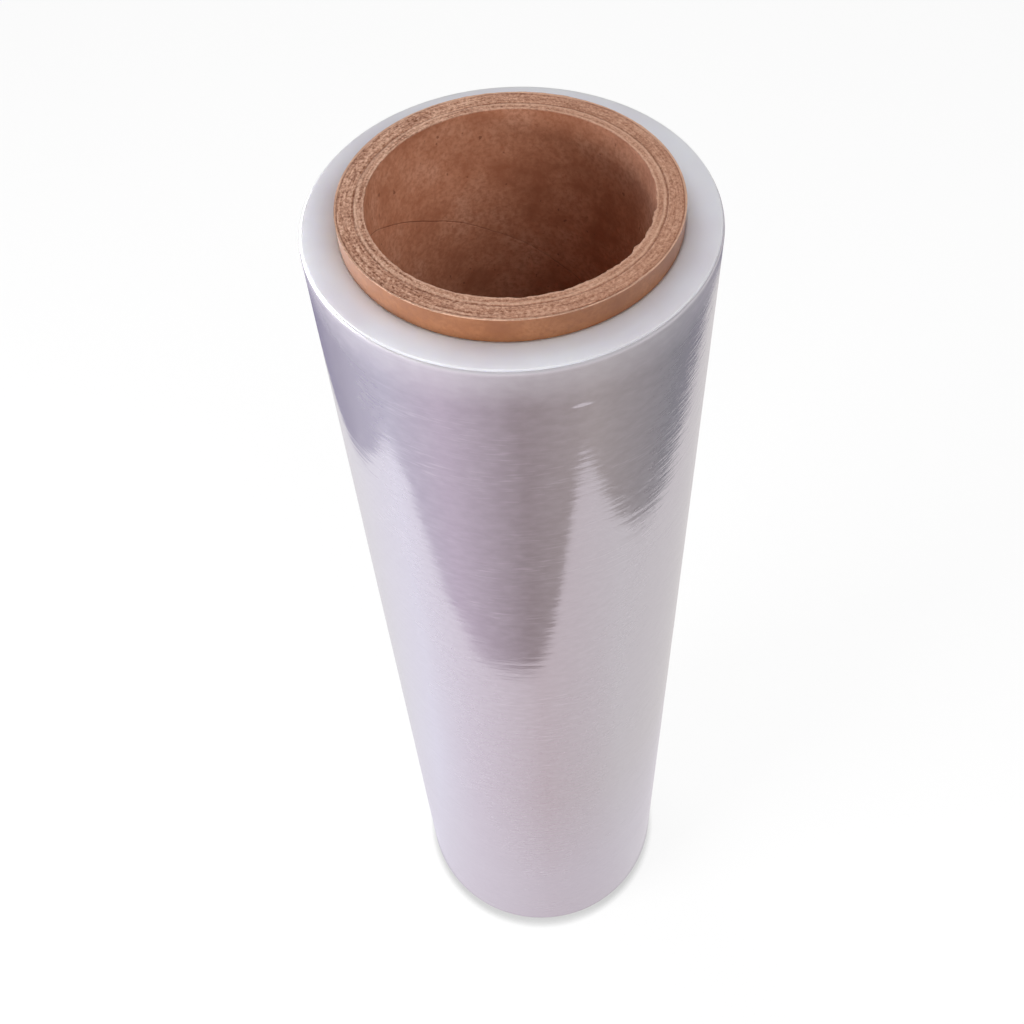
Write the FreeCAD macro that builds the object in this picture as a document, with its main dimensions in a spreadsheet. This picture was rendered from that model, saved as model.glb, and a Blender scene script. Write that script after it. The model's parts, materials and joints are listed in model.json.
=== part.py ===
import FreeCAD, Part
import os
import Sketcher

# A roll of stretch wrap, standing on one end. Clear film is wound tight on a
# spiral-wound cardboard core, which stands a little proud of the film at both ends.
# Millimetres, +Z up along the roll, origin at the centre of the end it stands on.

# Driving sizes: a word, its value, and what it is
SIZES = [
    ("core_bore_diameter", 76.2, "inside of the core, the standard 3 inch bore"),
    ("core_wall", 7.5, "wall of the core, all plies together"),
    ("core_projection", 7.0, "how far the core stands out of the film at each end"),
    ("film_width", 400.0, "width of the film, which is the length of the winding"),
    ("film_build", 10.4, "thickness of all the turns together"),
    ("rim_round", 1.6, "round of the winding's two outer edges"),
    ("rim_band", 2.0, "from the winding's outside to the first ring line on its end"),
    ("turn_line_spacing", 3.0, "from one ring line on the winding's end to the next"),
    ("turn_line_width", 0.4, "mouth of a ring line, where the turns change tension"),
    ("turn_line_depth", 0.2, "depth of a ring line"),
    ("ply_line_spacing", 1.9, "from one glue line that shows on a sawn end to the next"),
    ("ply_line_width", 0.3, "mouth of a glue line between two plies"),
    ("ply_line_depth", 0.25, "depth of a glue line"),
]

# Radii and lengths that follow from the driving sizes, as formulas for the features
BORE_RADIUS = "Sizes.core_bore_diameter / 2"
CORE_RADIUS = "Sizes.core_bore_diameter / 2 + Sizes.core_wall"
FILM_RADIUS = "Sizes.core_bore_diameter / 2 + Sizes.core_wall + Sizes.film_build"
CORE_LENGTH = "Sizes.film_width + 2 * Sizes.core_projection"
FILM_WIDTH = "Sizes.film_width"

# Where a sketch starts: its own origin, as a geometry index and a point on it
ORIGIN = (-1, 1)

# Rough corners of a new outline, across and up, before its dimensions set it
ROUGH_RECTANGLE = [(1, 0), (2, 0), (2, 3), (1, 3)]
ROUGH_NOTCH_MOUTH = [(1, 0), (3, 0)]

# How closely an edge must match a radius to count as that edge
SAME_RADIUS = 1e-6

doc = FreeCAD.newDocument("StretchWrapRoll")


def make_sheet():
    """The table of driving sizes, each cell named by its alias."""
    sheet = doc.addObject("Spreadsheet::Sheet", "Sizes")
    for row, (alias, value, meaning) in enumerate(SIZES, start=1):
        sheet.set("A%d" % row, alias)
        sheet.set("B%d" % row, str(value))
        sheet.set("C%d" % row, meaning)
        sheet.setAlias("B%d" % row, alias)
    doc.recompute()
    return sheet


def origin_plane(body, role):
    """One of the body's own origin planes, found by its role."""
    for feature in body.Origin.OriginFeatures:
        if feature.Role == role:
            return feature
    raise ValueError("no origin plane " + role)


def half_section_sketch(body, name):
    """An empty sketch on the plane through the axis: across is the radius, up is the height."""
    sketch = body.newObject("Sketcher::SketchObject", name)
    sketch.AttachmentSupport = [(origin_plane(body, "XZ_Plane"), "")]
    sketch.MapMode = "FlatFace"
    return sketch


def add_size(sketch, kind, first, second, name, formula):
    """A horizontal or vertical dimension from one point to another, bound to a formula."""
    index = sketch.addConstraint(Sketcher.Constraint(kind, *first, *second, 1.0))
    sketch.renameConstraint(index, name)
    sketch.setExpression("Constraints." + name, formula)


def add_closed_lines(sketch, points):
    """Straight lines round a list of points, joined end to end. Returns their indices."""
    corners = [FreeCAD.Vector(across, up, 0) for across, up in points]
    lines = []
    for start, end in zip(corners, corners[1:] + corners[:1]):
        lines.append(sketch.addGeometry(Part.LineSegment(start, end), False))
    for line, following in zip(lines, lines[1:] + lines[:1]):
        sketch.addConstraint(Sketcher.Constraint("Coincident", line, 2, following, 1))
    return lines


def revolve(body, sketch, kind, name):
    """A full turn of a half section about the roll's axis, added or cut away."""
    feature = body.newObject(kind, name)
    feature.Profile = sketch
    feature.ReferenceAxis = (sketch, ["V_Axis"])
    feature.Angle = 360.0
    doc.recompute()
    return feature


def add_ring(body, inner, outer, length):
    """A plain thick ring of the given inner radius, outer radius and length."""
    sketch = half_section_sketch(body, body.Name + "_section")
    bottom, outside, top, inside = add_closed_lines(sketch, ROUGH_RECTANGLE)
    sketch.addConstraint(Sketcher.Constraint("Horizontal", bottom))
    sketch.addConstraint(Sketcher.Constraint("Vertical", outside))
    sketch.addConstraint(Sketcher.Constraint("Horizontal", top))
    sketch.addConstraint(Sketcher.Constraint("Vertical", inside))
    sketch.addConstraint(Sketcher.Constraint("PointOnObject", bottom, 1, -1))
    add_size(sketch, "DistanceX", ORIGIN, (bottom, 1), "inner_radius", inner)
    add_size(sketch, "DistanceX", ORIGIN, (bottom, 2), "outer_radius", outer)
    add_size(sketch, "DistanceY", ORIGIN, (top, 1), "length", length)
    return revolve(body, sketch, "PartDesign::Revolution", body.Name + "_ring")


def add_notch(sketch, name, radius, face, depth, width, is_top):
    """A V notch in an end face at one radius: its mouth lies on the face, its tip inside."""
    tip = (2, -1) if is_top else (2, 1)
    mouth, rising, falling = add_closed_lines(sketch, ROUGH_NOTCH_MOUTH + [tip])
    sketch.addConstraint(Sketcher.Constraint("Horizontal", mouth))
    add_size(sketch, "DistanceX", (mouth, 1), (mouth, 2), name + "_width", width)
    add_size(sketch, "DistanceX", (mouth, 1), (falling, 1), name + "_middle", width + " / 2")
    add_size(sketch, "DistanceX", ORIGIN, (falling, 1), name + "_radius", radius)
    if is_top:
        add_size(sketch, "DistanceY", ORIGIN, (mouth, 1), name + "_face", face)
        add_size(sketch, "DistanceY", (falling, 1), (mouth, 1), name + "_depth", depth)
    else:
        sketch.addConstraint(Sketcher.Constraint("PointOnObject", mouth, 1, -1))
        add_size(sketch, "DistanceY", (mouth, 1), (falling, 1), name + "_depth", depth)


def cut_ring_lines(body, base, radii, length, width, depth):
    """Fine ring lines in both end faces, one at each of the given radii."""
    before = base.Shape.Volume
    sketch = half_section_sketch(body, body.Name + "_line_section")
    for number, radius in enumerate(radii, start=1):
        add_notch(sketch, "bottom_line_%d" % number, radius, "0", depth, width, False)
        add_notch(sketch, "top_line_%d" % number, radius, length, depth, width, True)
    groove = revolve(body, sketch, "PartDesign::Groove", body.Name + "_lines")
    if not groove.Shape.Volume < before:
        raise RuntimeError(body.Name + ": the ring lines cut nothing")
    return groove


def new_body(name):
    """An empty body whose label names its file."""
    body = doc.addObject("PartDesign::Body", name)
    body.Label = name
    return body


def make_core(sheet):
    """The cardboard tube, with the lines between its plies on both sawn ends."""
    body = new_body("cardboard_core")
    tube = add_ring(body, BORE_RADIUS, CORE_RADIUS, CORE_LENGTH)
    line_count = int((sheet.core_wall - sheet.ply_line_width) / sheet.ply_line_spacing)
    radii = [BORE_RADIUS + " + %d * Sizes.ply_line_spacing" % line for line in range(1, line_count + 1)]
    cut_ring_lines(body, tube, radii, CORE_LENGTH, "Sizes.ply_line_width", "Sizes.ply_line_depth")
    body.Placement = FreeCAD.Placement()
    return body


def outer_edge_names(shape, radius):
    """The names of the circular edges of a shape that have the given radius."""
    names = []
    for number, edge in enumerate(shape.Edges, start=1):
        is_circle = isinstance(edge.Curve, Part.Circle)
        if is_circle and abs(edge.Curve.Radius - radius) < SAME_RADIUS:
            names.append("Edge%d" % number)
    return names


def make_film(sheet):
    """The wound film: a thick ring on the core, with rounded rims and ring lines on its ends."""
    body = new_body("wound_film")
    winding = add_ring(body, CORE_RADIUS, FILM_RADIUS, FILM_WIDTH)
    film_radius = sheet.core_bore_diameter / 2 + sheet.core_wall + sheet.film_build
    rims = body.newObject("PartDesign::Fillet", "wound_film_rims")
    rims.Base = (winding, outer_edge_names(winding.Shape, film_radius))
    rims.setExpression("Radius", "Sizes.rim_round")
    doc.recompute()
    room = sheet.film_build - sheet.rim_band - sheet.turn_line_width
    line_count = int(room / sheet.turn_line_spacing) + 1
    first = FILM_RADIUS + " - Sizes.rim_band"
    radii = [first + " - %d * Sizes.turn_line_spacing" % line for line in range(line_count)]
    cut_ring_lines(body, rims, radii, FILM_WIDTH, "Sizes.turn_line_width", "Sizes.turn_line_depth")
    body.setExpression("Placement.Base.z", "Sizes.core_projection")
    return body


def check(parts):
    """Stop if any object failed, or if a sub-part isn't one valid solid."""
    for item in doc.Objects:
        if "Invalid" in item.State or "Error" in item.State:
            raise RuntimeError("%s failed: %s" % (item.Name, item.State))
    for part in parts:
        if part.Shape.isNull() or not part.Shape.isValid():
            raise RuntimeError(part.Label + ": the shape is not valid")
        if len(part.Shape.Solids) != 1:
            raise RuntimeError(part.Label + ": not one solid")


def export(parts):
    """One STEP file for each sub-part, named after it."""
    os.makedirs("parts", exist_ok=True)
    for part in parts:
        part.Shape.exportStep(os.path.join("parts", part.Label + ".step"))


sheet = make_sheet()
parts = [make_core(sheet), make_film(sheet)]
doc.recompute()
check(parts)
export(parts)
for part in parts:
    box = part.Shape.optimalBoundingBox(False, False)
    print("%s: %.0f mm3, z %.2f to %.2f, radius %.2f"
          % (part.Label, part.Shape.Volume, box.ZMin, box.ZMax, box.XMax))
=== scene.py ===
import json
import math
import bpy
import numpy as np
from mathutils import Matrix, Vector


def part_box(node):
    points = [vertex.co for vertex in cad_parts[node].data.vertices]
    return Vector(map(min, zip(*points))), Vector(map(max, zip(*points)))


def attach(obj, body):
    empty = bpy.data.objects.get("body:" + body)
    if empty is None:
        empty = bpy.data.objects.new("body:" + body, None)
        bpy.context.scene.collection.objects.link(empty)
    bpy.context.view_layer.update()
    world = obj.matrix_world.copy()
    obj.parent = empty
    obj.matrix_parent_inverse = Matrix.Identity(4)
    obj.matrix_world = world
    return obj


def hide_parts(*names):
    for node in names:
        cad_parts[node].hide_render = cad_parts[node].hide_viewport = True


# Looks of a roll of stretch wrap: clear film wound tight on a spiral-wound cardboard
# core. Metres, +Z up along the roll, which stands on the lower end of its core.
# Angles round the roll are counted from +X towards +Y, so the front, where the camera
# stands, is at 270 degrees.

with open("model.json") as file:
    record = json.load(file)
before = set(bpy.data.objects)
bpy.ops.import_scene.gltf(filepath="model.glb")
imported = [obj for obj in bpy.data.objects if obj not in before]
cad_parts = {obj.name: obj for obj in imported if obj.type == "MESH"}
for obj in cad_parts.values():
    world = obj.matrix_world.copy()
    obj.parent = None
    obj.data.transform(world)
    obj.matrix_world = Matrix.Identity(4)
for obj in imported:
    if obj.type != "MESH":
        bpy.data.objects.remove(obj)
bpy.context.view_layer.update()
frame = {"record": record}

# Sizes read from the frame. The film stays a little inside its CAD body, whose faces are flat
MM = 0.001
CORE_LOW, CORE_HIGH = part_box("cardboard_core")
FILM_LOW, FILM_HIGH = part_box("wound_film")
MOUNTS = {mount["name"]: mount for mount in frame["record"]["mounts"]}
CORE_BOTTOM = CORE_LOW.z
CORE_TOP = CORE_HIGH.z
CORE_RADIUS = CORE_HIGH.x
BORE_RADIUS = MOUNTS["bore"]["dims"]["r_mm"] * MM
FILM_BOTTOM = FILM_LOW.z
FILM_TOP = FILM_HIGH.z
FILM_CLEARANCE = 0.06 * MM
FILM_RADIUS = FILM_HIGH.x - FILM_CLEARANCE

# The camera, in the frame of the roll: how far in front of the axis it is, how far above
# the film's top, how it is turned, and its focal length in widths of the square picture
CAMERA_FRONT = 253.9 * MM
CAMERA_RISE = 215.5 * MM
CAMERA_PITCH = math.radians(53.88)
CAMERA_YAW = math.radians(-1.09)
CAMERA_ROLL = math.radians(-3.79)
FOCAL_IN_WIDTHS = 1.205
SENSOR_MM = 36.0

# The core's sawn end is a little out of square: its slope, and the side where it is highest
SAW_SLOPE = 0.0207
SAW_HIGH_SIDE = math.radians(252)

# Where the saw tore the inner edge most, and how far round that reaches to each side
TORN_SIDE = math.radians(335)
TORN_REACH = math.radians(32)

# The plies that show on a sawn end, as distances from the bore: a pale inner ply, the gap
# outside it, and the thin outer wrap with the gap inside it
PALE_PLY = 1.9 * MM
PLY_GAP = 2.6 * MM
WRAP_THICKNESS = 0.55 * MM

# The spiral seam of the inner ply: how far it drops in a full turn, and one place it passes
SEAM_PITCH = 144 * MM
SEAM_ANGLE = 168
SEAM_DEPTH = 18.3 * MM

# The winding's end falls a little towards the core. A fine groove just inside its rim marks
# the last turns, which have slipped down a little and round over into the side
CROWN_DROP = 0.5 * MM
CROWN_RADIUS = 52 * MM
GROOVE_INSET = 0.68 * MM
GROOVE_DROP = 0.7 * MM
RIM_WIDTH = 0.55 * MM
RIM_HEIGHT = 1.6 * MM

# A small wrinkle in the outer turn: its angle and its height
WRINKLE_ANGLE = math.radians(285.2)
WRINKLE_HEIGHT = 392.6 * MM

# The lap where the outer turn ends, at the back right: its angle, and the step it makes
LAP_ANGLE = math.radians(60)
LAP_STEP = 0.05 * MM


def srgb(red, green, blue):
    """A colour given as screen values from 0 to 255, as the linear colour that shaders take."""
    def linear(value):
        value = value / 255
        if value <= 0.04045:
            return value / 12.92
        return ((value + 0.055) / 1.055) ** 2.4
    return (linear(red), linear(green), linear(blue), 1.0)


# Mesh tools

def smooth_step(part):
    """Eases a fraction from 0 to 1."""
    part = np.clip(part, 0, 1)
    return part * part * (3 - 2 * part)


def lattice_noise(rng, row_places, columns, column_cells):
    """Smooth noise from -1 to 1 on a grid that closes on itself round its columns.
    row_places are the rows' places, counted in cells."""
    row_places = np.asarray(row_places, float) - min(row_places)
    lattice = rng.uniform(-1, 1, (int(max(row_places)) + 2, column_cells))
    column_places = np.arange(columns) * column_cells / columns
    row = row_places.astype(int)
    column = column_places.astype(int)
    next_column = (column + 1) % column_cells
    row_part = smooth_step(row_places - row)[:, None]
    column_part = smooth_step(column_places - column)[None, :]

    def along_row(number):
        here = lattice[number][:, column]
        there = lattice[number][:, next_column]
        return here * (1 - column_part) + there * column_part
    return along_row(row) * (1 - row_part) + along_row(row + 1) * row_part


def column_angles(columns):
    """The angle of each column of a turned grid."""
    return np.arange(columns) * 2 * math.pi / columns


def spread(values, columns):
    """A grid whose rows hold the given values all the way round."""
    return np.array(values)[:, None] * np.ones((1, columns))


def turned_mesh(name, radii, heights, row_materials, materials):
    """A closed mesh whose rows run round the section and whose columns run round the axis.
    row_materials gives, for each row, the index of the material between it and the next."""
    rows, columns = radii.shape
    angles = column_angles(columns)
    points = np.stack([radii * np.cos(angles), radii * np.sin(angles), heights], axis=-1)
    row = np.arange(rows)[:, None]
    column = np.arange(columns)[None, :]
    next_row = (row + 1) % rows
    next_column = (column + 1) % columns
    faces = np.stack([row * columns + column, row * columns + next_column,
                      next_row * columns + next_column, next_row * columns + column], axis=-1)
    mesh = bpy.data.meshes.new(name)
    mesh.from_pydata(points.reshape(-1, 3).tolist(), [], faces.reshape(-1, 4).tolist())
    mesh.polygons.foreach_set("material_index", np.repeat(row_materials, columns).astype(np.int32))
    mesh.polygons.foreach_set("use_smooth", np.ones(rows * columns, bool))
    for material in materials:
        mesh.materials.append(material)
    mesh.update()
    piece = bpy.data.objects.new(name, mesh)
    bpy.context.scene.collection.objects.link(piece)
    return piece


# Material tools

class Shader:
    """A material's node tree, with short calls to add nodes."""

    def __init__(self, name):
        self.material = bpy.data.materials.new(name)
        self.material.use_nodes = True
        self.tree = self.material.node_tree
        self.tree.nodes.clear()
        self.output = self.tree.nodes.new("ShaderNodeOutputMaterial")
        self.place = self.node("TexCoord").outputs["Object"]
        parts = self.node("SeparateXYZ", Vector=self.place)
        self.x, self.y, self.z = parts.outputs

    def node(self, kind, settings=None, **inputs):
        """A node with the given settings. An input is a value, or the output that feeds it."""
        node = self.tree.nodes.new("ShaderNode" + kind)
        for key, value in (settings or {}).items():
            setattr(node, key, value)
        for key, value in inputs.items():
            self.feed(node.inputs[key.replace("_", " ")], value)
        return node

    def feed(self, socket, value):
        """Links an output to the socket, or sets its value."""
        if isinstance(value, bpy.types.NodeSocket):
            self.tree.links.new(value, socket)
        else:
            socket.default_value = value

    def maths(self, operation, first, second=0.0, third=0.0):
        node = self.node("Math", {"operation": operation})
        for socket, value in zip(node.inputs, (first, second, third)):
            self.feed(socket, value)
        return node.outputs[0]

    def radius(self):
        """The distance from the roll's axis."""
        square = self.maths("MULTIPLY", self.x, self.x)
        square = self.maths("MULTIPLY_ADD", self.y, self.y, square)
        return self.maths("SQRT", square)

    def noise(self, scale, detail=2.0, roughness=0.5, place=None):
        """Noise from 0 to 1 whose grain has the given count per metre along x, y and z."""
        mapping = self.node("Mapping", Vector=place or self.place, Scale=scale)
        return self.node("TexNoise", Vector=mapping.outputs[0], Scale=1.0, Detail=detail,
                         Roughness=roughness).outputs[0]

    def ring_noise(self, round_count, across_scale, detail=2.0, roughness=0.5):
        """Noise on an end face, stretched along its rings. round_count is the count of grains
        in a radian, across_scale the count per metre outwards."""
        radius = self.radius()
        place = self.node("CombineXYZ", X=self.maths("DIVIDE", self.x, radius),
                          Y=self.maths("DIVIDE", self.y, radius), Z=radius).outputs[0]
        return self.noise((round_count, round_count, across_scale), detail, roughness, place)

    def ramp(self, value, *stops):
        """Turns a value into a colour, by stops of place and colour."""
        node = self.node("ValToRGB", Fac=value)
        elements = node.color_ramp.elements
        while len(elements) < len(stops):
            elements.new(0.5)
        for element, (place, colour) in zip(elements, stops):
            element.position = place
            element.color = colour
        return node.outputs[0]

    def between(self, value, low, high, out_low=0.0, out_high=1.0):
        """Maps a range of values to another, held at its ends."""
        node = self.node("MapRange", Value=value, From_Min=low, From_Max=high,
                         To_Min=out_low, To_Max=out_high)
        return node.outputs[0]

    def near(self, value, middle, half_width):
        """1 where a value is at the middle, falling to 0 at half a width from it."""
        offset = self.maths("ABSOLUTE", self.maths("SUBTRACT", value, middle))
        return self.between(offset, 0.0, half_width, 1.0, 0.0)

    def mix(self, part, first, second, blend="MIX"):
        node = self.node("Mix", {"data_type": "RGBA", "blend_type": blend, "clamp_result": True})
        self.feed(node.inputs[0], part)
        self.feed(node.inputs[6], first)
        self.feed(node.inputs[7], second)
        return node.outputs[2]

    def bump(self, height, depth, under=None):
        """A normal from a height that runs from 0 to 1, depth metres deep."""
        node = self.node("Bump", Height=height, Distance=depth, Strength=1.0)
        if under is not None:
            self.feed(node.inputs["Normal"], under)
        return node.outputs[0]

    def direction(self):
        """The direction from the axis as a part of a turn: 0.25 at -X, 0.5 at the front and
        0.75 at +X."""
        forward = self.maths("MULTIPLY", self.y, -1.0)
        angle = self.maths("ARCTAN2", self.x, forward)
        return self.maths("MULTIPLY_ADD", angle, 0.5 / math.pi, 0.5)

    def finish(self, output):
        self.tree.links.new(output, self.output.inputs[0])
        return self.material


# Materials of the roll

KRAFT = srgb(158, 99, 56)
KRAFT_DARK = srgb(141, 83, 42)
KRAFT_PALE = srgb(172, 114, 72)
LINER = srgb(200, 141, 111)
LINER_DARK = srgb(172, 111, 82)
LINER_PALE = srgb(212, 157, 129)
SAWN = srgb(187, 137, 112)
SAWN_DARK = srgb(116, 70, 50)
SAWN_PALE = srgb(230, 188, 163)
FILM = srgb(220, 215, 222)
FILM_MILK = srgb(232, 233, 240)


def kraft_paper(name, dark, middle, pale, gloss, with_seam=False):
    """Smooth brown paper, cloudy and finely fibred. The inner ply also has a few dark specks
    and the spiral seam where the strip's edges meet."""
    shader = Shader(name)
    clouds = shader.noise((90, 90, 90), detail=4.0, roughness=0.6)
    fibres = shader.noise((750, 750, 750), detail=3.0, roughness=0.65)
    colour = shader.ramp(clouds, (0.3, dark), (0.5, middle), (0.7, pale))
    colour = shader.mix(shader.between(fibres, 0.4, 0.66, 0.0, 0.75), colour, dark)
    normal = shader.bump(fibres, 0.08 * MM)
    if with_seam:
        specks = shader.noise((600, 600, 600), detail=0.0)
        colour = shader.mix(shader.between(specks, 0.8, 0.84, 0.0, 0.6), colour, SAWN_DARK)
        wander = shader.noise((90, 90, 90), detail=2.0)
        depth = shader.maths("SUBTRACT", CORE_TOP, shader.z)
        depth = shader.maths("MULTIPLY_ADD", wander, 1.6 * MM, depth)
        turn = shader.maths("MULTIPLY", shader.maths("ARCTAN2", shader.y, shader.x), 0.5 / math.pi)
        start = SEAM_DEPTH / SEAM_PITCH + SEAM_ANGLE / 360 - 0.5
        phase = shader.maths("MULTIPLY_ADD", depth, 1 / SEAM_PITCH, turn)
        phase = shader.maths("FRACT", shader.maths("SUBTRACT", phase, start))
        seam = shader.near(phase, 0.5, 0.3 * MM / SEAM_PITCH)
        strength = shader.between(wander, 0.35, 0.6, 0.75, 0.2)
        colour = shader.mix(shader.maths("MULTIPLY", seam, strength), colour, SAWN_DARK)
        normal = shader.bump(shader.maths("SUBTRACT", 1.0, seam), 0.12 * MM, under=normal)
    paper = shader.node("BsdfPrincipled", Base_Color=colour, Roughness=0.6, Specular_IOR_Level=0.3,
                        Normal=normal, Coat_Weight=gloss, Coat_Roughness=0.35, Coat_IOR=1.65)
    return shader.finish(paper.outputs[0])


def sawn_board():
    """The core's cut end: torn fibres drawn out along the plies, with painted shade that keeps
    their dark marks strong on the left, where low light rakes them, and plainer towards the
    right, with a pale inner ply and a smooth thin wrap outside."""
    shader = Shader("sawn_board")
    marks = shader.ring_noise(50, 2200, detail=3.0, roughness=0.7)
    lines = shader.ring_noise(3, 1500, detail=3.0, roughness=0.6)
    fluff = shader.noise((1100, 1100, 1100), detail=3.0, roughness=0.7)
    grain = shader.maths("MULTIPLY_ADD", marks, 0.35, shader.maths("MULTIPLY", lines, 0.3))
    grain = shader.maths("MULTIPLY_ADD", fluff, 0.35, grain)
    colour = shader.ramp(grain, (0.4, SAWN_DARK), (0.49, SAWN), (0.59, SAWN_PALE))
    # Painted shade: the fibres' dark marks stay strong on the left, where low light rakes them, and
    # fade into plain board towards the right.
    raking_shade_fade = shader.between(shader.x, -0.5 * CORE_RADIUS, 0.5 * CORE_RADIUS, 0.0, 0.45)
    colour = shader.mix(raking_shade_fade, colour, SAWN)
    wander = shader.noise((70, 70, 70), detail=2.0)
    out = shader.maths("SUBTRACT", shader.radius(), BORE_RADIUS)
    out = shader.maths("MULTIPLY_ADD", wander, 0.7 * MM, out)
    pale = shader.near(out, PALE_PLY + 0.35 * MM, 0.5 * MM)
    gap = shader.near(out, PLY_GAP + 0.35 * MM, 0.35 * MM)
    # Paler along the bore's rim: paler torn fibres, and a painted highlight on the ragged edge.
    edge = shader.near(out, 0.4 * MM, 0.45 * MM)
    wrap_start = CORE_RADIUS - BORE_RADIUS - WRAP_THICKNESS + 0.35 * MM
    wrap_gap = shader.near(out, wrap_start - 0.1 * MM, 0.3 * MM)
    wrap = shader.between(out, wrap_start, wrap_start + 0.15 * MM)
    tints = [(pale, 0.5, SAWN_PALE), (edge, 0.5, SAWN_PALE), (gap, 0.55, SAWN_DARK),
             (wrap_gap, 0.5, SAWN_DARK), (wrap, 0.6, SAWN_PALE)]
    for part, strength, tint in tints:
        colour = shader.mix(shader.maths("MULTIPLY", part, strength), colour, tint)
    normal = shader.bump(grain, 0.25 * MM)
    board = shader.node("BsdfPrincipled", Base_Color=colour, Roughness=0.9, Specular_IOR_Level=0.2,
                        Normal=normal)
    return shader.finish(board.outputs[0])


def film_side():
    """The outside turn over many clear turns. It mirrors like dull silver, broken by fine
    streaks round the roll that fade downwards and are deepest where it is scuffed, near the
    top on the right. It is hazy in thin dashes, in faint mottles, and close to the rim."""
    shader = Shader("film_side")
    bands = shader.noise((10, 10, 150), detail=2.0)
    streaks = shader.noise((60, 60, 520), detail=3.0, roughness=0.6)
    scuffs = shader.noise((110, 110, 900), detail=2.0, roughness=0.6)
    on_right = shader.between(shader.x, 0.4 * FILM_RADIUS, 0.8 * FILM_RADIUS, 0.1, 1.0)
    near_top = shader.between(shader.z, FILM_TOP - 90 * MM, FILM_TOP - 50 * MM, 0.1, 1.0)
    scuffed = shader.maths("MULTIPLY", on_right, near_top)
    normal = shader.bump(bands, 0.05 * MM)
    scratched = shader.between(shader.z, FILM_BOTTOM + 80 * MM, FILM_TOP - 100 * MM, 0.3, 1.0)
    normal = shader.bump(shader.maths("MULTIPLY", streaks, scratched), 0.04 * MM, under=normal)
    normal = shader.bump(shader.maths("MULTIPLY", scuffs, scuffed), 0.09 * MM, under=normal)
    dashes = shader.noise((150, 150, 1500), detail=1.0)
    patches = shader.noise((30, 30, 60), detail=2.0)
    dash_part = shader.maths("MULTIPLY", shader.between(dashes, 0.56, 0.76),
                             shader.between(patches, 0.45, 0.65, 0.0, 0.22))
    mottles = shader.between(shader.noise((230, 230, 420), detail=3.0), 0.35, 0.7, 0.0, 0.1)
    rim_part = shader.between(shader.z, FILM_TOP - 14 * MM, FILM_TOP - 3 * MM, 0.0, 0.45)
    lip_part = shader.between(shader.z, FILM_TOP - 2.9 * MM, FILM_TOP - 2.2 * MM, 0.0, 0.5)
    haze = shader.maths("MAXIMUM", shader.maths("MAXIMUM", dash_part, rim_part), lip_part)
    haze = shader.maths("ADD", haze, mottles)
    metallic = shader.between(haze, 0.0, 1.0, 0.7, 0.2)
    roughness = shader.between(haze, 0.0, 1.0, 0.065, 0.4)
    film = shader.node("BsdfPrincipled", Base_Color=FILM, Metallic=metallic, Roughness=roughness,
                       Normal=normal, Coat_Weight=0.25, Coat_Roughness=0.06, IOR=1.5)
    return shader.finish(film.outputs[0])


def film_end():
    """The edges of all the turns together: milky, smooth, with faint rings."""
    shader = Shader("film_end")
    clouds = shader.noise((40, 40, 40), detail=2.0)
    rings = shader.ring_noise(3, 2600, detail=3.0)
    colour = shader.mix(shader.between(clouds, 0.35, 0.65, 0.0, 0.6), FILM_MILK, FILM)
    normal = shader.bump(rings, 0.01 * MM)
    film = shader.node("BsdfPrincipled", Base_Color=colour, Roughness=0.28, Normal=normal, IOR=1.5,
                       Subsurface_Weight=0.8, Subsurface_Radius=(1.0, 1.0, 1.1),
                       Subsurface_Scale=5 * MM, Coat_Weight=0.3, Coat_Roughness=0.1)
    return shader.finish(film.outputs[0])


# The core

def core_section():
    """Rows round the core's section, from the bore's top edge outwards, down the outside,
    across the lower end and up the bore. Gives each row's radius, height and surface."""
    rows = []
    for radius in np.linspace(BORE_RADIUS, CORE_RADIUS, 38):
        rows.append((radius, CORE_TOP, 0))
    rows.append((CORE_RADIUS, CORE_TOP - 0.15 * MM, 0))
    for drop in np.array([0.4, 1.0, 2.5, 4.5, 6.8, 9.0]) * MM:
        rows.append((CORE_RADIUS, CORE_TOP - drop, 1))
    for rise in np.array([9.0, 6.8, 3.5, 1.0, 0.3]) * MM:
        rows.append((CORE_RADIUS, CORE_BOTTOM + rise, 1))
    for radius in np.linspace(CORE_RADIUS, BORE_RADIUS, 14):
        rows.append((radius, CORE_BOTTOM, 0))
    for rise in np.array([0.3, 1.0, 3.0]) * MM:
        rows.append((BORE_RADIUS, CORE_BOTTOM + rise, 2))
    for height in np.linspace(CORE_BOTTOM + 10 * MM, CORE_TOP - 12 * MM, 12):
        rows.append((BORE_RADIUS, height, 2))
    for drop in np.array([7.0, 4.5, 2.8, 1.6, 0.9]) * MM:
        rows.append((BORE_RADIUS, CORE_TOP - drop, 2))
    for drop in np.array([0.5, 0.25]) * MM:
        rows.append((BORE_RADIUS, CORE_TOP - drop, 0))
    return rows


def saw_relief(rng, radii, columns):
    """How far each point of a sawn end lies below its highest fibres."""
    lumps = lattice_noise(rng, radii / (1.3 * MM), columns, 90)
    fibres = lattice_noise(rng, radii / (0.4 * MM), columns, 300)
    relief = 0.10 * MM * (1 + lumps) + 0.06 * MM * (1 + fibres)
    out = radii[:, None] - BORE_RADIUS
    open_gap = smooth_step(0.5 + lattice_noise(rng, [0], columns, 24))
    ply_gap = np.exp(-((out - PLY_GAP) / (0.2 * MM)) ** 2)
    wrap_gap = np.exp(-((out - (CORE_RADIUS - BORE_RADIUS - WRAP_THICKNESS)) / (0.15 * MM)) ** 2)
    return relief + (0.25 * ply_gap + 0.45 * wrap_gap * open_gap) * MM


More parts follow.
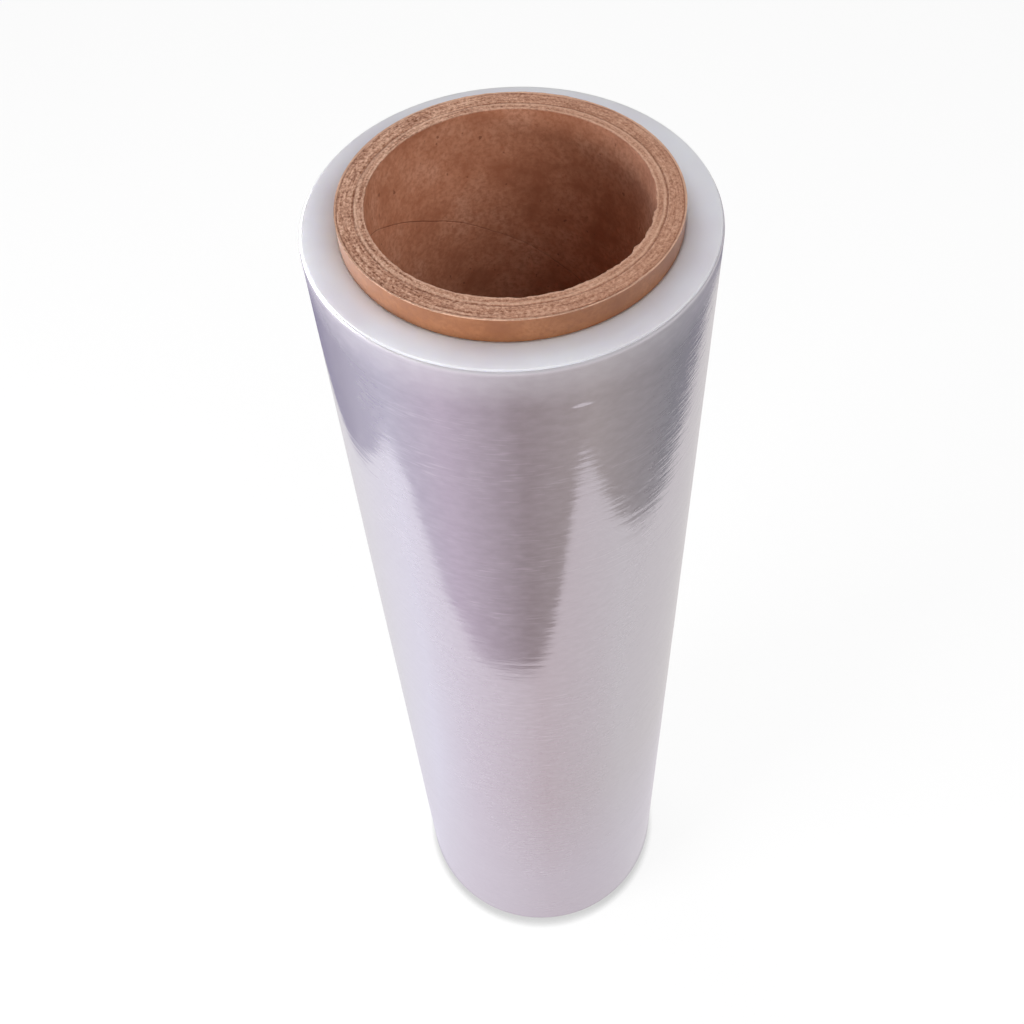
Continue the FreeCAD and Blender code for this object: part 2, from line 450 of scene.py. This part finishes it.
def ragged_edge(rng, columns):
    """How far torn fibres reach into the bore round its rim: most at the front right."""
    angles = column_angles(columns)
    from_torn_side = np.angle(np.exp(1j * (angles - TORN_SIDE)))
    torn_side = np.exp(-((from_torn_side / TORN_REACH) ** 2))
    tufts = lattice_noise(rng, [0], columns, 70)[0] + 0.6 * lattice_noise(rng, [0], columns, 260)[0]
    return 0.12 * MM * (1 + tufts) + 0.4 * MM * torn_side * np.clip(0.3 + tufts, 0, None)


def make_core():
    """The spiral-wound core, with rough sawn ends and a ragged inner edge."""
    rng = np.random.default_rng(7)
    rows = core_section()
    columns = 1080
    surface = np.array([row[2] for row in rows])
    radii = spread([row[0] for row in rows], columns)
    heights = spread([row[1] for row in rows], columns)
    base = heights[:, 0].copy()
    is_top = (surface == 0) & (base == CORE_TOP)
    is_bottom = (surface == 0) & (base == CORE_BOTTOM)
    heights[is_top] -= saw_relief(rng, radii[is_top][:, 0], columns)
    heights[is_bottom] += saw_relief(rng, radii[is_bottom][::-1, 0], columns)[::-1]
    slope_arm = CORE_RADIUS - radii * np.cos(column_angles(columns) - SAW_HIGH_SIDE)
    upper = base > CORE_TOP - 10 * MM
    heights[upper] -= SAW_SLOPE * slope_arm[upper]
    near_rim = np.where(is_top, 1 - (radii[:, 0] - BORE_RADIUS) / (1.0 * MM), 0)
    in_bore = (radii[:, 0] == BORE_RADIUS) & ~is_top
    near_rim = np.where(in_bore, 1 - (CORE_TOP - base) / (2.5 * MM), near_rim)
    radii -= smooth_step(near_rim)[:, None] * ragged_edge(rng, columns)
    materials = [sawn_board(), kraft_paper("core_wrap", KRAFT_DARK, KRAFT, KRAFT_PALE, 1.0),
                 kraft_paper("core_bore", LINER_DARK, LINER, LINER_PALE, 0.0, with_seam=True)]
    piece = turned_mesh("core_tube", radii, heights, surface, materials)
    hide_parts("cardboard_core")
    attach(piece, "root")


# The film

def end_section():
    """The winding's end from the core out to the side, as radius and drop below the top."""
    groove = FILM_RADIUS - GROOVE_INSET
    points = []
    flat = np.linspace(CORE_RADIUS, groove - 0.2 * MM, 14)
    for radius in np.append(flat, groove - 0.17 * MM):
        crown = min(radius - CROWN_RADIUS, 0) / (CROWN_RADIUS - CORE_RADIUS)
        points.append((radius, CROWN_DROP * crown ** 2))
    points.append((groove - 0.14 * MM, GROOVE_DROP - 0.45 * MM))
    points.append((groove, GROOVE_DROP))
    points.append((groove + 0.08 * MM, GROOVE_DROP - 0.1 * MM))
    for angle in np.radians([5, 15, 30, 45, 60, 75, 85]):
        points.append((FILM_RADIUS - RIM_WIDTH * (1 - math.sin(angle)),
                       GROOVE_DROP - 0.12 * MM + RIM_HEIGHT * (1 - math.cos(angle))))
    return points


def film_section():
    """Rows round the winding's section, from the core outwards across the top end, over the
    rim, down the side and back across the lower end. Gives each row's radius, height, surface."""
    end = end_section()
    rim_start = FILM_RADIUS - RIM_WIDTH
    rows = [(radius, FILM_TOP - drop, int(radius > rim_start)) for radius, drop in end]
    side_drop = end[-1][1] + 0.15 * MM
    fine = np.arange(FILM_TOP - side_drop, FILM_TOP - 60 * MM, -0.9 * MM)
    rest = np.linspace(FILM_TOP - 61 * MM, FILM_BOTTOM + side_drop, 120)
    rows += [(FILM_RADIUS, height, 1) for height in np.concatenate([fine, rest])]
    rows += [(radius, FILM_BOTTOM + drop, int(radius > rim_start))
             for radius, drop in reversed(end)]
    return rows


def make_film():
    """The wound film: milky ends, rims with a groove, and a side that ripples a little, with
    a lap and a wrinkle."""
    rng = np.random.default_rng(11)
    rows = film_section()
    columns = 384
    surface = np.array([row[2] for row in rows])
    radii = spread([row[0] for row in rows], columns)
    heights = spread([row[1] for row in rows], columns)
    side = surface == 1
    places = heights[side][:, 0]
    angles = column_angles(columns)
    slow = lattice_noise(rng, places / (16 * MM), columns, 9)
    quick = lattice_noise(rng, places / (5 * MM), columns, 16)
    lap = ((angles - LAP_ANGLE) / (2 * math.pi)) % 1.0
    radii[side] -= 0.03 * MM * (1 + slow) + 0.008 * MM * (1 + quick) + LAP_STEP * lap
    along = (angles - WRINKLE_ANGLE) * FILM_RADIUS / (4.5 * MM)
    up = (heights[side] - WRINKLE_HEIGHT) / (1.0 * MM)
    radii[side] += 0.18 * MM * np.exp(-along ** 2 - up ** 2)
    piece = turned_mesh("film_winding", radii, heights, surface, [film_end(), film_side()])
    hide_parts("wound_film")
    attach(piece, "root")


# The stage

# The film's reflection is painted: glowing sheets just above the floor, which only gloss
# sees, paint a bright floor near the roll and a dim room beyond it. The painted bright floor
# ends and the painted dim room begins at a straight wall on the left and on the right, each
# with the direction that it lies in, in degrees, and its distance, and in front at a round
# dark shape, whose flanks turn away by FLANK_GROWTH within so many degrees on its left and
# on its right
LEFT_WALL = (155, 317 * MM)
RIGHT_WALL = (345, 281 * MM)
DARK_SHAPE = (260, 199 * MM)
FLANKS = (59, 37)
FLANK_GROWTH = 110 * MM
BACK_REACH = 450 * MM
CORNER_SHARPNESS = 8
EDGE_STEPS = 120
DIM_ROOM_REACH = 0.8
STAGE_LIFT = 1 * MM

# Colours of the painted reflection in the film: the painted bright floor's, of which
# NEAR_LILAC is the one close to the roll, then the painted dim room's
PALE_GREY = (0.70, 0.67, 0.67, 1)
LILAC_WHITE = (0.79, 0.78, 0.90, 1)
WHITE_GREY = (0.74, 0.73, 0.77, 1)
ROSY_LILAC = (0.69, 0.62, 0.71, 1)
ROSY_GREY = (0.57, 0.47, 0.49, 1)
NEAR_LILAC = (0.74, 0.70, 0.78, 1)
DIM_LILAC = (0.39, 0.37, 0.51, 1)
DIM_MAUVE = (0.42, 0.31, 0.44, 1)
DIM_BROWN = (0.13, 0.05, 0.06, 1)
DIM_WARM_GREY = (0.33, 0.27, 0.24, 1)
DIM_BLUE = (0.24, 0.22, 0.33, 1)
DIM_SLATE = (0.16, 0.16, 0.18, 1)
FLOOR_REACH = 3.0

# How bright the even room light is
ROOM_LEVEL = 0.28


def flat_mesh(name, corners, faces, material):
    """A flat piece of the stage."""
    mesh = bpy.data.meshes.new(name)
    mesh.from_pydata(corners, [], faces)
    mesh.materials.append(material)
    item = bpy.data.objects.new(name, mesh)
    bpy.context.scene.collection.objects.link(item)
    return item


def floor_material():
    """A pale floor. The camera sees it as white, with a painted shadow close to what stands on
    it, where the glow dims with ambient occlusion, over a faint real shadow from its diffuse
    share.
    """
    shader = Shader("floor_pale")
    path = shader.node("LightPath").outputs
    plain = shader.node("BsdfDiffuse", Color=(0.5, 0.5, 0.5, 1)).outputs[0]
    # Painted contact shadow: the white glow that the camera sees dims where ambient occlusion finds
    # the roll within 8 mm.
    closeness = shader.node("AmbientOcclusion", Distance=8 * MM).outputs["AO"]
    strength = shader.between(closeness, 0.86, 1.0, 0.5, 0.87)
    glow = shader.node("Emission", Color=(1, 1, 1, 1), Strength=strength).outputs[0]
    share = shader.node("BsdfDiffuse", Color=(0.15, 0.15, 0.15, 1)).outputs[0]
    white = shader.node("AddShader")
    shader.feed(white.inputs[0], glow)
    shader.feed(white.inputs[1], share)
    choice = shader.node("MixShader")
    shader.feed(choice.inputs[0], path["Is Camera Ray"])
    shader.feed(choice.inputs[1], plain)
    shader.feed(choice.inputs[2], white.outputs[0])
    return shader.finish(choice.outputs[0])


def turn_stops(*stops):
    """Stops of a ramp round the roll, from directions in degrees."""
    return [((direction - 90) / 360, colour) for direction, colour in stops]


def painted_floor_reflection():
    """Painted reflection of a bright floor: a glowing sheet that only the film's gloss sees,
    lilac white on the left, rosy ahead, grey on the right, and with a painted shadow that
    makes it darkest right at the roll."""
    shader = Shader("painted_floor_reflection")
    colour = shader.ramp(shader.direction(), *turn_stops(
        (90, PALE_GREY), (150, WHITE_GREY), (190, LILAC_WHITE), (225, ROSY_LILAC),
        (275, ROSY_GREY), (330, PALE_GREY), (450, PALE_GREY)))
    radius = shader.radius()
    colour = shader.mix(shader.between(radius, 75 * MM, 120 * MM, 0.5, 0.0), colour, NEAR_LILAC)
    # Painted shadow of the roll in the reflection: the glow dims to 0.7 at the film's foot.
    painted_foot_shadow = shader.between(radius, FILM_RADIUS, FILM_RADIUS + 2.5 * MM, 0.7, 1.0)
    glow = shader.node("Emission", Color=colour, Strength=painted_foot_shadow)
    return shader.finish(glow.outputs[0])


def painted_room_reflection():
    """Painted reflection of a dim room: a glowing sheet that only the film's gloss sees, lilac
    on the left, dark brown ahead, grey on the right and blue behind."""
    shader = Shader("painted_room_reflection")
    colour = shader.ramp(shader.direction(), *turn_stops(
        (90, DIM_BLUE), (150, DIM_BLUE), (190, DIM_LILAC), (225, DIM_MAUVE),
        (270, DIM_BROWN), (310, DIM_WARM_GREY), (365, DIM_SLATE), (450, DIM_BLUE)))
    glow = shader.node("Emission", Color=colour, Strength=1.0)
    return shader.finish(glow.outputs[0])


def bright_floor_reach(direction):
    """How far the painted bright floor in the film's reflection reaches in a direction in
    degrees. Where two limits meet, the nearer one wins, with a rounded corner."""
    limits = [BACK_REACH]
    for facing, distance in (LEFT_WALL, RIGHT_WALL):
        towards = math.cos(math.radians(direction - facing))
        if towards > 0.1:
            limits.append(distance / towards)
    facing, distance = DARK_SHAPE
    offset = (direction - facing + 180) % 360 - 180
    flank = FLANKS[0] if offset < 0 else FLANKS[1]
    limits.append(distance + FLANK_GROWTH * (abs(offset) / flank) ** 3)
    return sum(limit ** -CORNER_SHARPNESS for limit in limits) ** (-1 / CORNER_SHARPNESS)


def ring_points(reaches):
    """A closed ring of points just above the floor, one at each distance, evenly turned."""
    step = 2 * math.pi / len(reaches)
    return [(reach * math.cos(i * step), reach * math.sin(i * step), STAGE_LIFT)
            for i, reach in enumerate(reaches)]


def ring_faces(inner, outer, count):
    """Faces of a closed band between two rings of points."""
    return [(inner + i, inner + (i + 1) % count, outer + (i + 1) % count, outer + i)
            for i in range(count)]


def make_stage():
    """The floor, and glowing sheets that paint what the glossy film reflects in its place."""
    reach = FLOOR_REACH
    corners = [(-reach, -reach, 0), (reach, -reach, 0), (reach, reach, 0), (-reach, reach, 0)]
    flat_mesh("floor", corners, [(0, 1, 2, 3)], floor_material())
    count = EDGE_STEPS
    foot = ring_points([1 * MM] * count)
    edge = ring_points([bright_floor_reach(i * 360 / count) for i in range(count)])
    rim = ring_points([DIM_ROOM_REACH] * count)
    far = ring_points([reach] * count)
    seen = [flat_mesh("painted_floor_reflection", foot + edge, ring_faces(0, count, count), painted_floor_reflection()),
            flat_mesh("painted_room_reflection", edge + rim, ring_faces(0, count, count), painted_room_reflection()),
            flat_mesh("painted_far_reflection", rim + far, ring_faces(0, count, count), painted_floor_reflection())]
    # The painted reflection sheets are hidden from the camera, from diffuse light, from shadows and
    # from transmission, so only gloss sees them.
    for item in seen:
        item.visible_camera = False
        item.visible_diffuse = False
        item.visible_shadow = False
        item.visible_transmission = False


def make_world():
    """A dim even room, white only to the camera."""
    world = bpy.data.worlds.new("studio")
    bpy.context.scene.world = world
    world.use_nodes = True
    tree = world.node_tree
    background = tree.nodes["Background"]
    background.inputs["Color"].default_value = (1.0, 1.0, 1.0, 1)
    path = tree.nodes.new("ShaderNodeLightPath")
    level = tree.nodes.new("ShaderNodeMapRange")
    level.inputs["To Min"].default_value = ROOM_LEVEL
    level.inputs["To Max"].default_value = 1.0
    tree.links.new(path.outputs["Is Camera Ray"], level.inputs["Value"])
    tree.links.new(level.outputs[0], background.inputs["Strength"])


def lamp(name, direction, elevation, distance, size, height, level):
    """A soft lamp that faces the top of the roll. level is the brightness that it gives a
    white surface that faces it there."""
    light = bpy.data.lights.new(name, "AREA")
    light.shape = "RECTANGLE"
    light.size = size
    light.size_y = height
    light.energy = level * math.pi ** 2 * distance ** 2
    item = bpy.data.objects.new(name, light)
    bpy.context.scene.collection.objects.link(item)
    direction = math.radians(direction)
    elevation = math.radians(elevation)
    level_part = math.cos(elevation)
    way = Vector((math.cos(direction) * level_part, math.sin(direction) * level_part,
                  math.sin(elevation)))
    item.location = Vector((0, 0, CORE_TOP)) + way * distance
    item.rotation_mode = "QUATERNION"
    item.rotation_quaternion = way.to_track_quat("Z", "Y")
    return item


def make_lamps():
    """A low window at the front left that also reaches the top of the bore, a bright wall on
    the left that only adds gloss, and soft high lights at the right and at the back."""
    window = lamp("window_left", 208, 0, 0.8, 0.45, 0.25, 1.05)
    window.visible_glossy = False
    wall = lamp("wall_left", 155, 6, 0.8, 0.9, 0.4, 4.5)
    wall.visible_diffuse = False
    high = lamp("sky_right", -45, 40, 1.2, 1.0, 1.0, 0.66)
    high.visible_glossy = False
    back = lamp("sky_back", 125, 45, 1.2, 0.6, 0.6, 0.25)
    back.visible_glossy = False


def make_camera():
    """The camera that the photo was taken with, as fitted to the roll's rims and sides."""
    camera = bpy.data.cameras.new("camera")
    camera.sensor_width = SENSOR_MM
    camera.lens = FOCAL_IN_WIDTHS * SENSOR_MM
    camera.clip_start = 0.01
    eye = bpy.data.objects.new("camera", camera)
    bpy.context.scene.collection.objects.link(eye)
    level_part = math.cos(CAMERA_PITCH)
    ahead = Vector((math.sin(CAMERA_YAW) * level_part, math.cos(CAMERA_YAW) * level_part,
                    -math.sin(CAMERA_PITCH)))
    level = Vector((math.cos(CAMERA_YAW), -math.sin(CAMERA_YAW), 0))
    upright = level.cross(ahead)
    right = math.cos(CAMERA_ROLL) * level + math.sin(CAMERA_ROLL) * upright
    up = math.cos(CAMERA_ROLL) * upright - math.sin(CAMERA_ROLL) * level
    turn = Matrix((right, up, -ahead)).transposed().to_4x4()
    place = Matrix.Translation((0, -CAMERA_FRONT, FILM_TOP + CAMERA_RISE))
    eye.matrix_world = place @ turn
    bpy.context.scene.camera = eye


bpy.context.scene.view_settings.view_transform = "Standard"
make_camera()
make_world()
make_lamps()
make_stage()
make_core()
make_film()
